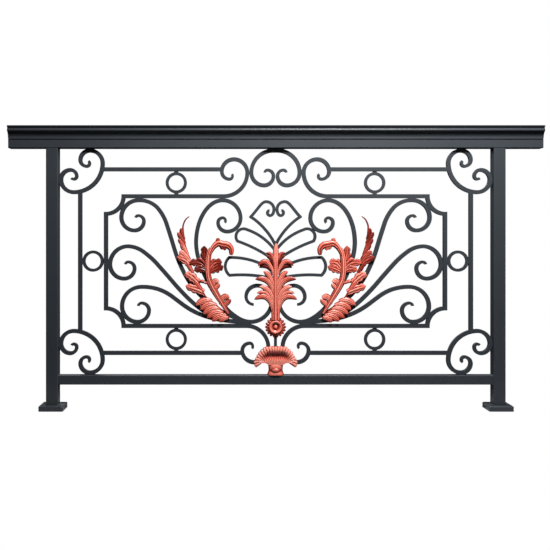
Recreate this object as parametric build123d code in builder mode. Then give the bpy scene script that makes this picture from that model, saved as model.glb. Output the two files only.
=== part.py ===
import math
import os

from build123d import *

os.makedirs("parts", exist_ok=True)

# Driving dimensions in millimetres. X runs along the railing from the left post, the front
# faces -Y and the floor is at Z = 0, with the origin under the left base plate.
railing_height = 1000.0
post_spacing = 1570.0
rail_overhang = 153.0
post_size = 42.0
tube_wall = 2.0
tube_corner = 2.5
base_size = 86.0
base_thickness = 18.0
base_corner = 6.0
anchor_spacing = 60.0
anchor_hole = 11.0
bottom_rail_size = 33.0
top_rail_height = 34.0
floor_gap = 89.0

# Handrail cap over the top rail.
cap_width = 78.0
cap_rise = 46.0
cap_lip = 10.0
cap_bead = 11.0
cap_step = 6.0
cap_crown = 3.0
cap_wall = 2.5
cap_skirt = 2.0
cap_clearance = 0.2
end_plate = 3.0

# Square bar of the scrolls, with the gap left where two rounds are welded together.
bar = 14.0
tip_share = 0.64
tip_taper = 70.0
weld_gap = 0.2
coil_eye = 10.0

# Border: outer line, rings, inner frame with hollow corners.
side_border_gap = 68.0
top_border_gap = 66.5
low_border_gap = 70.0
ring_size = 75.0
ring_bar = 10.5
ring_offset = 350.0
ring_pad = 14.0
side_ring_weld = 1.0
level_ring_weld = 3.0
notch_radius = 62.0

# Corner scrolls.
corner_back = 102.0
corner_coil = 45.0
corner_step = 11.5

# Wide scroll under the top rail and the volutes that end the inner frame.
crown_shoulder = 78.0
crown_coil = 45.0
crown_step = 12.0
upper_volute = 47.0
upper_coil = 43.0
upper_step = 16.0
lower_bend = 77.0
lower_volute = 51.0
lower_coil = 41.0
lower_step = 15.0
lower_spread = 25.0

# Sweeping scrolls of the field: first coil radius and its fall with each quarter turn.
low_coil = 69.0
low_step = 14.3
mid_coil = 64.0
mid_step = 13.8
mid_drop = 10.0
high_coil = 60.0
high_step = 13.5

# Large C scroll.
big_rise = 150.0
big_shoulder = 94.0
big_sweep = 192.0
big_coil = 63.0
big_step = 15.5
heart_bend = 76.0
heart_coil = 52.0
heart_step = 12.5

# Fan of thinner bar round the stem.
stem_width = 10.0
fan_bar = 10.5
fan_share = 0.62
crest_reach = 87.0
crest_corner_share = 0.221
crest_rise_share = 0.338
crest_coil = 27.0
crest_drop = 22.0
crest_eye = 10.0
petal_end = 27.0
petal_touch = -48.0
wing_reach = 136.0
wing_share = 0.46
wing_end_share = 0.09

# Painted castings on the front of the bars.
casting = 10.0
rib_share = 0.3
palmette_lift = 22.0
palmette_past = 8.0
palmette_width = 150.0
palmette_stalk = 31.0
rosette_size = 75.0
rosette_drop = 25.0
rosette_petals = 18
rosette_tooth = 6.0
rosette_rim = 4.0
rosette_boss = 46.0
shell_width = 158.0
shell_height = 101.0
shell_neck = 45.0
shell_flute = 14.0
shell_dish = 26.0
shell_foot = 56.0
shell_flutes = 11
shell_spread = 172.0

# Levels and places that follow from the sizes above.
mid_x = post_spacing / 2
top_rail_top = railing_height - cap_rise
panel_top = top_rail_top - top_rail_height
panel_bottom = floor_gap + bottom_rail_size
panel_mid = (panel_top + panel_bottom) / 2
post_face = post_size / 2
touch = bar + weld_gap
rail_touch = bar / 2 + weld_gap
outer_x = post_face + side_border_gap + bar / 2
outer_top = panel_top - top_border_gap - bar / 2
outer_bottom = panel_bottom + low_border_gap + bar / 2
side_gap = ring_size + 2 * side_ring_weld
level_gap = ring_size + 2 * level_ring_weld
inner_x = outer_x + bar + side_gap
inner_top = outer_top - bar - level_gap
inner_bottom = outer_bottom + bar + level_gap
frame_start = inner_x + notch_radius - bar / 2
field_height = inner_top - inner_bottom
fan_z = inner_bottom + fan_share * field_height

panel = Plane.XZ
centre_plane = Plane.YZ.offset(mid_x)
level_plane = Plane.XY.offset(panel_mid)

east = Vector(1, 0)
north = Vector(0, 1)
west = Vector(-1, 0)
south = Vector(0, -1)
left = 1
right = -1


# A bar is drawn along stations, each a point of its centreline and the direction there. Its
# edges are arcs through every three of them, so runs hold an odd number of stations.
def quarter_turns(start, heading, turn, reaches, last=90):
    stations = []
    corner = Vector(*start)
    for number, reach in enumerate(reaches):
        along, across = reach if isinstance(reach, tuple) else (reach, reach)
        steps = 2 if along == across else 12
        aside = Vector(-turn * heading.Y, turn * heading.X)
        sweep = last if number == len(reaches) - 1 else 90
        for step in range(steps + 1):
            angle = math.radians(sweep * step / steps)
            point = corner + heading * (along * math.sin(angle))
            point = point + aside * (across * (1 - math.cos(angle)))
            way = heading * (along * math.cos(angle)) + aside * (across * math.sin(angle))
            if step or not stations:
                stations.append((point, way.normalized()))
        corner = corner + heading * along + aside * across
        heading = aside
    return stations


def coil(radius, fall, count):
    return [max(radius - fall * number, coil_eye) for number in range(count)]


def sway(start, end, start_way, end_way, steps=12):
    first, last = Vector(*start), Vector(*end)
    second, third = first + start_way, last - end_way
    stations = []
    for step in range(steps + 1):
        t = step / steps
        u = 1 - t
        point = first * u**3 + second * (3 * u * u * t) + third * (3 * u * t * t) + last * t**3
        way = (second - first) * (u * u) + (third - second) * (2 * u * t) + (last - third) * (t * t)
        stations.append((point, way.normalized()))
    return stations


def bow(start, end, rise):
    first, last = Vector(*start), Vector(*end)
    half = (last - first).length / 2
    chord = (last - first).normalized()
    aside = Vector(-chord.Y, chord.X)
    half_angle = 2 * math.atan(rise / half)
    start_way = chord * math.cos(half_angle) + aside * math.sin(half_angle)
    end_way = chord * math.cos(half_angle) - aside * math.sin(half_angle)
    middle = first + chord * half + aside * rise
    return [(first, start_way), (middle, chord), (last, end_way)]


def backwards(stations):
    return [(point, way * -1) for point, way in reversed(stations)]


def joined(first, second):
    return first + second[1:]


def bar_edges(stations, width, start_tip, end_tip):
    runs = [0.0]
    for before, after in zip(stations, stations[1:]):
        runs.append(runs[-1] + (after[0] - before[0]).length)
    sides = ([], [])
    for run, (point, way) in zip(runs, stations):
        here = width
        if start_tip:
            here = min(here, width * (tip_share + (1 - tip_share) * run / tip_taper))
        if end_tip:
            here = min(here, width * (tip_share + (1 - tip_share) * (runs[-1] - run) / tip_taper))
        aside = Vector(-way.Y, way.X) * (here / 2)
        sides[0].append(point + aside)
        sides[1].append(point - aside)
    return sides


def draw_bar(stations, width=bar, start_tip=False, end_tip=False, start_past=0, end_past=0):
    with BuildLine() as outline:
        ends = []
        for edge in bar_edges(stations, width, start_tip, end_tip):
            for number in range(0, len(edge) - 2, 2):
                ThreePointArc(*edge[number : number + 3])
            start = edge[0] - stations[0][1] * start_past
            end = edge[-1] + stations[-1][1] * end_past
            if start_past:
                Line(start, edge[0])
            if end_past:
                Line(edge[-1], end)
            ends.append((start, end))
        Line(ends[0][0], ends[1][0])
        Line(ends[0][1], ends[1][1])
    make_face(outline.edges())


# Runs that meet at corners, each drawn past the corner far enough to fill the mitre.
def draw_chain(chain, width):
    pasts = [0]
    for before, after in zip(chain, chain[1:]):
        turn = math.acos(before[-1][1].dot(after[0][1]))
        pasts.append(width / 2 * math.tan(min(turn, math.pi / 2) / 2))
    pasts.append(0)
    for number, stations in enumerate(chain):
        draw_bar(stations, width, start_past=pasts[number], end_past=pasts[number + 1])


def draw_straight(start_x, end_x, start_z, end_z):
    with Locations(((start_x + end_x) / 2, (start_z + end_z) / 2)):
        Rectangle(abs(end_x - start_x), abs(end_z - start_z))


# Posts, base plates and rails.
with BuildPart() as left_base_plate:
    with BuildSketch():
        RectangleRounded(base_size, base_size, base_corner)
    extrude(amount=base_thickness)
    chamfer(left_base_plate.faces().sort_by(Axis.Z)[-1].edges(), length=2)
    with Locations(Plane.XY.offset(base_thickness)):
        with GridLocations(anchor_spacing, anchor_spacing, 2, 2):
            Hole(anchor_hole / 2)

with BuildPart() as left_post:
    with BuildSketch(Plane.XY.offset(base_thickness)):
        RectangleRounded(post_size, post_size, tube_corner)
        inside = post_size - 2 * tube_wall
        Rectangle(inside, inside, mode=Mode.SUBTRACT)
    extrude(amount=panel_top - base_thickness)

with BuildPart() as right_base_plate:
    mirror(left_base_plate.part, about=centre_plane)

with BuildPart() as right_post:
    mirror(left_post.part, about=centre_plane)

with BuildPart() as bottom_rail:
    with BuildSketch(Plane.YZ.offset(post_face)):
        with Locations((0, floor_gap + bottom_rail_size / 2)):
            RectangleRounded(bottom_rail_size, bottom_rail_size, tube_corner)
            inside = bottom_rail_size - 2 * tube_wall
            Rectangle(inside, inside, mode=Mode.SUBTRACT)
    extrude(amount=post_spacing - post_size)

rail_start = -rail_overhang + end_plate
rail_length = post_spacing + 2 * (rail_overhang - end_plate)

with BuildPart() as top_rail:
    with BuildSketch(Plane.YZ.offset(rail_start)):
        with Locations((0, panel_top + top_rail_height / 2)):
            RectangleRounded(post_size, top_rail_height, tube_corner)
            Rectangle(post_size - 2 * tube_wall, top_rail_height - 2 * tube_wall, mode=Mode.SUBTRACT)
    extrude(amount=rail_length)


# Half of the handrail section runs out along a cove, round a bead, up the lip and over the
# crown. The same outline closes the ends.
def draw_cap(wall):
    half = cap_width / 2 - wall
    neck = post_size / 2 + cap_clearance + cap_wall - wall
    floor = top_rail_top + wall
    crown = railing_height - wall
    shoulder = crown - cap_crown
    bead_high = railing_height - cap_crown - cap_lip
    with BuildLine() as outline:
        Line((0, floor), (neck, floor))
        cove = SagittaArc((neck, floor), (half - cap_step, bead_high - cap_bead), 3)
        bulge = (half - cap_step / 3, bead_high - cap_bead / 2)
        bead = ThreePointArc(cove @ 1, bulge, (half - cap_step, bead_high))
        lip = Line(bead @ 1, (half, shoulder))
        ThreePointArc(lip @ 1, (half / 2, crown - cap_crown / 4), (0, crown))
        mirror(about=Plane.YZ)
    make_face(outline.edges())


with BuildPart() as handrail:
    with BuildSketch(Plane.YZ.offset(rail_start)):
        draw_cap(0)
        for side in (-1, 1):
            skirt_y = side * (post_size / 2 + cap_clearance + cap_wall / 2)
            with Locations((skirt_y, top_rail_top - cap_skirt / 2)):
                Rectangle(cap_wall, cap_skirt)
    extrude(amount=rail_length)
    with BuildSketch(Plane.YZ.offset(rail_start)):
        draw_cap(cap_wall)
    extrude(amount=rail_length, mode=Mode.SUBTRACT)

with BuildPart() as rail_end_plates:
    with BuildSketch(Plane.YZ.offset(rail_start)):
        draw_cap(0)
        with Locations((0, panel_top + top_rail_height / 2)):
            RectangleRounded(post_size, top_rail_height, tube_corner)
    extrude(amount=-end_plate)
    mirror(about=centre_plane)

# Corner scrolls: a quarter round back with a coil at each end.
corner_x = post_face + rail_touch + corner_coil
corner_z = panel_top - rail_touch - corner_coil
corner_turns = coil(corner_coil, corner_step, 5)

with BuildPart() as top_left_corner_scroll:
    with BuildSketch(panel):
        back_start = (corner_x, corner_z - corner_back)
        upper_half = quarter_turns(back_start, east, left, [corner_back] + corner_turns, 50)
        lower_half = quarter_turns(back_start, west, right, corner_turns, 50)
        draw_bar(joined(backwards(lower_half), upper_half), bar, True, True)
    extrude(amount=bar / 2, both=True)

with BuildPart() as bottom_left_corner_scroll:
    mirror(top_left_corner_scroll.part, about=level_plane)

with BuildPart() as top_right_corner_scroll:
    mirror(top_left_corner_scroll.part, about=centre_plane)

with BuildPart() as bottom_right_corner_scroll:
    mirror(bottom_left_corner_scroll.part, about=centre_plane)

# Wide scroll under the top rail. Its two coils meet on the middle line.
crown_half = crown_coil + (crown_coil - crown_step) - crown_shoulder + rail_touch
crown_start = (mid_x - crown_half, panel_top - rail_touch)
crown_left = crown_start[0] - crown_shoulder
crown_wide = crown_start[1] - crown_shoulder

with BuildPart() as crown_scroll:
    with BuildSketch(panel):
        turns = [crown_shoulder] + coil(crown_coil, crown_step, 4)
        draw_bar(quarter_turns(crown_start, west, left, turns, 80), bar, False, True)
        mirror(about=Plane.YZ.offset(mid_x))
        low_edge = panel_top - weld_gap - bar
        draw_straight(mid_x - crown_half, mid_x + crown_half, low_edge, panel_top - weld_gap)
    extrude(amount=bar / 2, both=True)

# Top bars of the inner frame: level, then a volute beside the wide scroll.
upper_bend = crown_wide - inner_top
upper_right = crown_left - touch
upper_start = upper_right - upper_bend

with BuildPart() as left_frame_top_bar:
    with BuildSketch(panel):
        turns = [upper_bend, upper_volute] + coil(upper_coil, upper_step, 4)
        draw_bar(quarter_turns((upper_start, inner_top), east, left, turns, 40), bar, False, True)
        draw_straight(frame_start, upper_start, inner_top - bar / 2, inner_top + bar / 2)
    extrude(amount=bar / 2, both=True)

with BuildPart() as right_frame_top_bar:
    mirror(left_frame_top_bar.part, about=centre_plane)

# Bottom bars of the inner frame, with volutes that come down beside the stem.
lower_right = mid_x - lower_spread
lower_start = lower_right - lower_bend

with BuildPart() as left_frame_bottom_bar:
    with BuildSketch(panel):
        turns = [lower_bend, lower_volute] + coil(lower_coil, lower_step, 4)
        draw_bar(quarter_turns((lower_start, inner_bottom), east, right, turns, 45), bar, False, True)
        draw_straight(frame_start, lower_start, inner_bottom - bar / 2, inner_bottom + bar / 2)
    extrude(amount=bar / 2, both=True)

with BuildPart() as right_frame_bottom_bar:
    mirror(left_frame_bottom_bar.part, about=centre_plane)

# Side bars of the inner frame with their hollow corners.
with BuildPart() as left_frame_side_bar:
    with BuildSketch(panel):
        notch_top = inner_top - notch_radius
        notch_bottom = inner_bottom + notch_radius
        draw_bar(quarter_turns((inner_x, notch_top), east, left, [notch_radius]))
        draw_bar(quarter_turns((inner_x, notch_bottom), east, right, [notch_radius]))
        draw_straight(inner_x - bar / 2, inner_x + bar / 2, notch_bottom - bar / 2, notch_top + bar / 2)
    extrude(amount=bar / 2, both=True)
    add(left_frame_top_bar.part, mode=Mode.SUBTRACT)
    add(left_frame_bottom_bar.part, mode=Mode.SUBTRACT)

with BuildPart() as right_frame_side_bar:
    mirror(left_frame_side_bar.part, about=centre_plane)

# Outer line, each bar cut to the scrolls at its ends.
side_end = math.sqrt(corner_back**2 - (outer_x - corner_x) ** 2)
level_end = math.sqrt(corner_back**2 - (corner_z - outer_top) ** 2)
upper_left = upper_right - upper_volute - upper_coil
lower_left = lower_right - lower_volute - lower_coil

with BuildPart() as outer_side_bars:
    with BuildSketch(panel):
        low = panel_top + panel_bottom - corner_z + side_end
        draw_straight(outer_x - bar / 2, outer_x + bar / 2, low, corner_z - side_end)
    extrude(amount=bar / 2, both=True)
    add(top_left_corner_scroll.part, mode=Mode.SUBTRACT)
    add(bottom_left_corner_scroll.part, mode=Mode.SUBTRACT)
    mirror(about=centre_plane)

with BuildPart() as outer_top_bars:
    with BuildSketch(panel):
        draw_straight(corner_x + level_end, upper_left, outer_top - bar / 2, outer_top + bar / 2)
    extrude(amount=bar / 2, both=True)
    add(top_left_corner_scroll.part, mode=Mode.SUBTRACT)
    add(left_frame_top_bar.part, mode=Mode.SUBTRACT)
    mirror(about=centre_plane)

with BuildPart() as outer_bottom_bars:
    with BuildSketch(panel):
        draw_straight(corner_x + level_end, lower_left, outer_bottom - bar / 2, outer_bottom + bar / 2)
    extrude(amount=bar / 2, both=True)
    add(bottom_left_corner_scroll.part, mode=Mode.SUBTRACT)
    add(left_frame_bottom_bar.part, mode=Mode.SUBTRACT)
    mirror(about=centre_plane)


# Rings, each with its two welds drawn out to the bars.
def draw_ring(x, z, pad_x, pad_z):
    with Locations((x, z)):
        Circle(ring_size / 2)
        Rectangle(pad_x, pad_z)
        Circle(ring_size / 2 - ring_bar, mode=Mode.SUBTRACT)


with BuildPart() as top_rings:
    with BuildSketch(panel):
        draw_ring(mid_x - ring_offset, (outer_top + inner_top) / 2, ring_pad, level_gap)
    extrude(amount=ring_bar / 2, both=True)
    mirror(about=centre_plane)

with BuildPart() as bottom_rings:
    with BuildSketch(panel):
        draw_ring(mid_x - ring_offset, (outer_bottom + inner_bottom) / 2, ring_pad, level_gap)
    extrude(amount=ring_bar / 2, both=True)
    mirror(about=centre_plane)

with BuildPart() as side_rings:
    with BuildSketch(panel):
        draw_ring((outer_x + inner_x) / 2, (outer_top + outer_bottom) / 2, side_gap, ring_pad)
    extrude(amount=ring_bar / 2, both=True)
    mirror(about=centre_plane)

# Stem between the two halves, standing on the bottom rail.
with BuildPart() as stem:
    with BuildSketch(panel):
        draw_straight(mid_x - stem_width / 2, mid_x + stem_width / 2, panel_bottom, fan_z + 16)
    extrude(amount=bar / 2, both=True)

# Large C scroll: tall back, coil under the frame and a bend that climbs beside the stem.
heart_right = mid_x - stem_width / 2 - rail_touch
bend_x = heart_right - heart_bend
big_left = bend_x - big_sweep
big_top = inner_top - touch
big_low = inner_bottom + touch
big_side = (big_left, big_top - big_rise)
big_drop = big_top - big_rise - big_low

with BuildPart() as left_c_scroll:
    with BuildSketch(panel):
        turns = [(big_rise, big_shoulder)] + coil(big_coil, big_step, 6)
        climb = quarter_turns(big_side, north, right, turns, 45)
        fall = sway(big_side, (bend_x, big_low), south * 0.35 * big_drop, east * 0.45 * big_sweep)
        turns = [heart_bend] + coil(heart_coil, heart_step, 3)
        heart = quarter_turns((bend_x, big_low), east, left, turns)
        draw_bar(joined(backwards(joined(fall, heart)), climb), bar, True, True)
    extrude(amount=bar / 2, both=True)

with BuildPart() as right_c_scroll:
    mirror(left_c_scroll.part, about=centre_plane)

# Sweeping scrolls. Each starts at the top of its coil and runs down to the bottom bar.
low_turns = coil(low_coil, low_step, 5)
low_floor = inner_bottom + touch
low_reach = notch_radius + touch + low_turns[1]
low_x = inner_x + math.sqrt(low_reach**2 - (touch + low_turns[1]) ** 2)
low_top = (low_x + low_turns[0] - low_turns[1], low_floor + low_turns[0] + low_turns[1])

with BuildPart() as left_lower_scroll:
    with BuildSketch(panel):
        coiled = quarter_turns(low_top, west, left, low_turns, 80)
        low_run = sway(low_top, (bend_x - 5, low_floor), east * 150, east * 270)
        draw_bar(joined(backwards(coiled), low_run), bar, True, False)
    extrude(amount=bar / 2, both=True)
    add(left_frame_bottom_bar.part, mode=Mode.SUBTRACT)
    add(left_c_scroll.part, mode=Mode.SUBTRACT)

mid_turns = coil(mid_coil, mid_step, 5)
mid_top = (inner_x + touch + mid_coil, panel_mid - mid_drop + mid_coil)

with BuildPart() as left_middle_scroll:
    with BuildSketch(panel):
        coiled = quarter_turns(mid_top, west, left, mid_turns, 80)
        end, way = low_run[-2]
        run = sway(mid_top, end, east * 110, way * 175)
        draw_bar(joined(backwards(coiled), run), bar, True, False)
    extrude(amount=bar / 2, both=True)
    add(left_frame_bottom_bar.part, mode=Mode.SUBTRACT)
    add(left_lower_scroll.part, mode=Mode.SUBTRACT)
    add(left_c_scroll.part, mode=Mode.SUBTRACT)
    add(left_middle_scroll.solids().sort_by(SortBy.VOLUME)[-1], mode=Mode.REPLACE)

high_turns = coil(high_coil, high_step, 5)
high_reach = notch_radius + touch + high_coil
high_x = inner_x + math.sqrt(high_reach**2 - (touch + high_coil) ** 2)
high_top = (high_x, inner_top - touch)

with BuildPart() as left_upper_scroll:
    with BuildSketch(panel):
        coiled = quarter_turns(high_top, west, left, high_turns, 75)
        end, way = fall[-2]
        run = sway(high_top, end, east * 175, way * 350)
        draw_bar(joined(backwards(coiled), run), bar, True, False)
    extrude(amount=bar / 2, both=True)
    add(left_frame_bottom_bar.part, mode=Mode.SUBTRACT)
    add(left_lower_scroll.part, mode=Mode.SUBTRACT)
    add(left_middle_scroll.part, mode=Mode.SUBTRACT)
    add(left_c_scroll.part, mode=Mode.SUBTRACT)
    add(left_upper_scroll.solids().sort_by(SortBy.VOLUME)[-1], mode=Mode.REPLACE)

with BuildPart() as right_lower_scroll:
    mirror(left_lower_scroll.part, about=centre_plane)

with BuildPart() as right_middle_scroll:
    mirror(left_middle_scroll.part, about=centre_plane)

with BuildPart() as right_upper_scroll:
    mirror(left_upper_scroll.part, about=centre_plane)

# Fan: crest loops, then an upper and a lower petal on each side, all cut to the stem.
crest_corner = crest_corner_share * field_height
crest_rise = crest_rise_share * field_height
crest_root = (mid_x, fan_z)
crest_point = (mid_x - crest_reach, fan_z + crest_corner)
crest_top = (mid_x - fan_bar / 2 - weld_gap - crest_coil, fan_z + crest_rise)

with BuildPart() as crest_loops:
    with BuildSketch(panel):
        leave = Vector(-0.18 * crest_reach, 0.37 * crest_corner)
        reach = Vector(-0.41 * crest_reach, 0.22 * crest_corner)
        turn = Vector(0.36 * crest_reach, 0.35 * crest_corner)
        rise = sway(crest_root, crest_point, leave, reach, 8)
        over = sway(crest_point, crest_top, turn, east * 16, 8)
        turns = [crest_coil, (crest_drop, 1.3 * crest_eye), crest_eye, 0.75 * crest_eye]
        curl = quarter_turns(crest_top, east, right, turns)
        draw_chain([rise, joined(over, curl)], fan_bar)
    extrude(amount=fan_bar / 2, both=True)
    add(stem.part, mode=Mode.SUBTRACT)
    mirror(about=centre_plane)


def draw_petal(centre, radius, high_angle, low_angle, high_root, low_root, high_bow, low_bow):
    end = []
    for tip in (high_angle, (high_angle + low_angle) / 2, low_angle):
        out = Vector(math.cos(math.radians(tip)), math.sin(math.radians(tip)))
        end.append((centre + out * radius, Vector(-out.Y, out.X)))
    upper = bow(high_root, end[0][0], high_bow)
    lower = bow(end[-1][0], low_root, low_bow)
    draw_chain([upper, end, lower], fan_bar)


touch_angle = math.radians(petal_touch)
touch_radius = big_coil - big_step
petal_out = touch_radius + bar / 2 + weld_gap + fan_bar / 2 + petal_end
petal_x = big_left + big_shoulder + big_coil - touch_radius + petal_out * math.cos(touch_angle)
petal_z = big_top - big_coil + petal_out * math.sin(touch_angle)

with BuildPart() as upper_petals:
    with BuildSketch(panel):
        place = Vector(petal_x, petal_z)
        high_root = (mid_x, fan_z - 0.042 * field_height)
        low_root = (mid_x, fan_z - 0.122 * field_height)
        draw_petal(place, petal_end, 63, 218, high_root, low_root, -10, 6)
    extrude(amount=fan_bar / 2, both=True)
    add(stem.part, mode=Mode.SUBTRACT)
    mirror(about=centre_plane)

with BuildPart() as lower_petals:
    with BuildSketch(panel):
        place = Vector(mid_x - wing_reach, inner_bottom + wing_share * field_height)
        high_root = (mid_x, fan_z - 0.204 * field_height)
        low_root = (mid_x, fan_z - 0.26 * field_height)
        draw_petal(place, wing_end_share * field_height, 131, 231, high_root, low_root, -14, 7)
    extrude(amount=fan_bar / 2, both=True)
    add(stem.part, mode=Mode.SUBTRACT)
    mirror(about=centre_plane)

# Castings, seated on the front faces of the bars. A blade runs from its base past a knee to
# its tip, and rises from its full outline at the back to a narrow rib in front.
front = panel.offset(bar / 2)


def draw_side(start, middle, end):
    if abs((end - start).cross(middle - start).Z) < 1:
        Line(start, end)
    else:
        ThreePointArc(start, middle, end)


def draw_blade(base, knee, tip, width, reach):
    first, bend, last = Vector(*base), Vector(*knee), Vector(*tip)
    sides = ([], [])
    for step, share in ((0, 0.3), (0.55, 1), (1, 0)):
        t = step * reach
        point = first * (1 - t) ** 2 + bend * (2 * t * (1 - t)) + last * t**2
        way = ((bend - first) * (1 - t) + (last - bend) * t).normalized()
        aside = Vector(-way.Y, way.X) * (width * share / 2)
        sides[0].append(point + aside)
        sides[1].append(point - aside)
    with BuildLine() as outline:
        draw_side(*sides[0])
        draw_side(*sides[1])
        Line(sides[0][0], sides[1][0])
    make_face(outline.edges())


def add_blade(base, knee, tip, width, height):
    with BuildSketch(front) as foot:
        draw_blade(base, knee, tip, width, 1)
    with BuildSketch(front.offset(height)) as rib:
        draw_blade(base, knee, tip, width * rib_share, 0.85)
    loft([foot.sketch.face(), rib.sketch.face()], ruled=True)


# Rosette: a toothed rim, a dished boss and a button.
palmette_foot = inner_bottom + palmette_lift
palmette_height = fan_z + palmette_past - palmette_foot
rosette_z = palmette_foot - rosette_drop

with BuildPart() as rosette:
    with BuildSketch(front):
        teeth = []
        for number in range(2 * rosette_petals):
            angle = math.pi * number / rosette_petals
            reach = rosette_size / 2 - (rosette_tooth if number % 2 else 0)
            teeth.append((mid_x + reach * math.sin(angle), rosette_z + reach * math.cos(angle)))
        Polygon(*teeth, align=None)
    extrude(amount=rosette_rim)
    with BuildSketch(front):
        with Locations((mid_x, rosette_z)):
            Circle(rosette_boss / 2)
    extrude(amount=casting)
    with BuildSketch(front.offset(casting)):
        with Locations((mid_x, rosette_z)):
            Circle(rosette_boss / 2 - 3)
    extrude(amount=-casting / 2, taper=35, mode=Mode.SUBTRACT)
    with BuildSketch(front):
        with Locations((mid_x, rosette_z)):
            Circle(rosette_boss / 7)
    extrude(amount=casting)

# Palmette: a tapered stalk with lobes on both sides.
palmette_lobes = [
    ((0.11, 0.10), (0.50, 0.40), (1.00, 0.29), 28),
    ((0.11, 0.12), (0.45, 0.40), (0.86, 0.38), 24),
    ((0.11, 0.15), (0.32, 0.39), (0.70, 0.45), 24),
    ((0.08, 0.34), (0.32, 0.58), (0.91, 0.55), 26),
    ((0.08, 0.38), (0.21, 0.60), (0.56, 0.64), 24),
    ((0.08, 0.56), (0.45, 0.92), (0.78, 0.72), 24),
    ((0.06, 0.69), (0.16, 0.85), (0.46, 0.89), 20),
]


def on_palmette(out, up):
    return (mid_x + out * palmette_width / 2, palmette_foot + up * palmette_height)


with BuildPart() as palmette:
    with BuildSketch(front):
        half = palmette_stalk / 2
        low, high = palmette_foot, palmette_foot + 0.4 * palmette_height
        Polygon((mid_x - half, low), (mid_x + half, low), (mid_x + 8, high), (mid_x - 8, high), align=None)
    extrude(amount=casting)
    add_blade(on_palmette(0, 0.1), on_palmette(0, 0.5), on_palmette(0, 1), 40, casting + 3)
    for side in (-1, 1):
        for base, knee, tip, broad in palmette_lobes:
            ends = [on_palmette(side * out, up) for out, up in (base, knee, tip)]
            add_blade(*ends, broad, casting)
    add(rosette.part, mode=Mode.SUBTRACT)

# Shell: flutes that spread from a foot on the bottom rail, hollowed in front.
shell_hub = panel_bottom + shell_neck


def add_flute(out):
    root = Plane((mid_x, -bar / 2 - shell_flute / 4, shell_hub), z_dir=(out.X, 0, out.Y))
    with Locations(root):
        seat = (Align.CENTER, Align.CENTER, Align.MIN)
        Cone(shell_flute / 4, shell_flute, out.length, align=seat)


with BuildPart() as shell:
    for number in range(shell_flutes):
        angle = math.radians(90 + shell_spread * (number / (shell_flutes - 1) - 0.5))
        out = Vector(math.cos(angle) * shell_width / 2, math.sin(angle) * (shell_height - shell_neck))
        add_flute(out)
    with Locations((mid_x, shell_width / 2 - bar / 2, shell_hub)):
        Box(2 * shell_width, shell_width, 2 * shell_width, mode=Mode.SUBTRACT)
    with BuildSketch(front):
        waist = panel_bottom + 0.4 * shell_neck
        with BuildLine():
            foot = Line((mid_x, panel_bottom), (mid_x + shell_foot / 2, panel_bottom))
            narrow = (mid_x + shell_foot / 2 - 6, waist)
            side = ThreePointArc(foot @ 1, narrow, (mid_x + shell_foot / 2 - 4, shell_hub))
            Line(side @ 1, (mid_x, shell_hub))
            mirror(about=centre_plane)
        make_face()
    extrude(amount=shell_flute)
    with Locations((mid_x, -bar / 2 - 1.5 * shell_flute - shell_dish, shell_hub + 0.6 * shell_neck)):
        Sphere(shell_dish + shell_flute, mode=Mode.SUBTRACT)


# Side leaves. A place is so far out from the middle, and so many hundredths of the field's
# height above the bottom bar.
def place(out, up):
    return (mid_x - out, inner_bottom + up * field_height / 100)


feather_lobes = [
    ((175, 8.8), (205, 17.5), (239, 22.1), 26),
    ((170, 7.9), (215, 14.9), (277, 16.0), 26),
    ((168, 7.2), (212, 11.4), (257, 10.7), 24),
    ((166, 6.6), (205, 8.3), (238, 5.0), 24),
    ((169, 5.9), (187, 4.8), (206, 2.8), 20),
    ((243, 27.5), (275, 28.4), (314, 31.3), 24),
    ((252, 30.3), (285, 32.8), (317, 38.1), 24),
    ((268.5, 36.1), (290, 38.3), (306, 42.0), 18),
    ((291.5, 45.4), (318, 48.6), (345, 53.2), 20),
    ((298, 48.8), (322, 52.5), (334, 57.8), 18),
    ((310, 56.2), (328, 62.4), (330, 75.1), 20),
    ((316, 60.6), (332, 63.5), (341, 69.8), 14),
]

with BuildPart() as left_feather_leaf:
    with BuildSketch(front):
        leave = Vector(-91, 0.2 * field_height)
        rib = sway(place(160, 6.3), place(325, 77.7), leave, north * 0.28 * field_height)
        tendril = quarter_turns(place(325, 77.7), north, right, [(33, 19)], 80)
        draw_bar(joined(rib, tendril), 9, False, True)
    extrude(amount=casting * 0.7)
    for base, knee, tip, broad in feather_lobes:
        add_blade(place(*base), place(*knee), place(*tip), broad, casting)

spray_lobes = [
    ((230, 49.2), (242, 55.1), (257, 61.1), 21),
    ((233, 41.1), (215, 44.9), (187, 48.4), 30),
    ((234, 42.0), (258, 48.1), (290, 49.0), 26),
    ((234, 40.3), (258, 42.7), (280, 42.0), 22),
    ((226, 30.2), (215, 32.8), (199, 34.6), 20),
    ((190, 16.0), (175, 19.7), (159, 21.9), 20),
    ((205, 62.0), (182, 63.5), (163, 57.0), 26),
]

with BuildPart() as left_leaf_spray:
    with BuildSketch(front):
        leave = Vector(-50, 0.16 * field_height)
        climb = sway(place(178, 12.7), place(232, 55.8), leave, north * 0.24 * field_height)
        hook = quarter_turns(place(232, 55.8), north, right, [(42, 40), (42, 38)])
        draw_bar(joined(climb, hook), 13, False, True)
    extrude(amount=casting)
    for base, knee, tip, broad in spray_lobes:
        add_blade(place(*base), place(*knee), place(*tip), broad, casting)
    add(left_feather_leaf.part, mode=Mode.SUBTRACT)
    add(left_leaf_spray.solids().sort_by(SortBy.VOLUME)[-1], mode=Mode.REPLACE)

with BuildPart() as right_feather_leaf:
    mirror(left_feather_leaf.part, about=centre_plane)

with BuildPart() as right_leaf_spray:
    mirror(left_leaf_spray.part, about=centre_plane)

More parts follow.
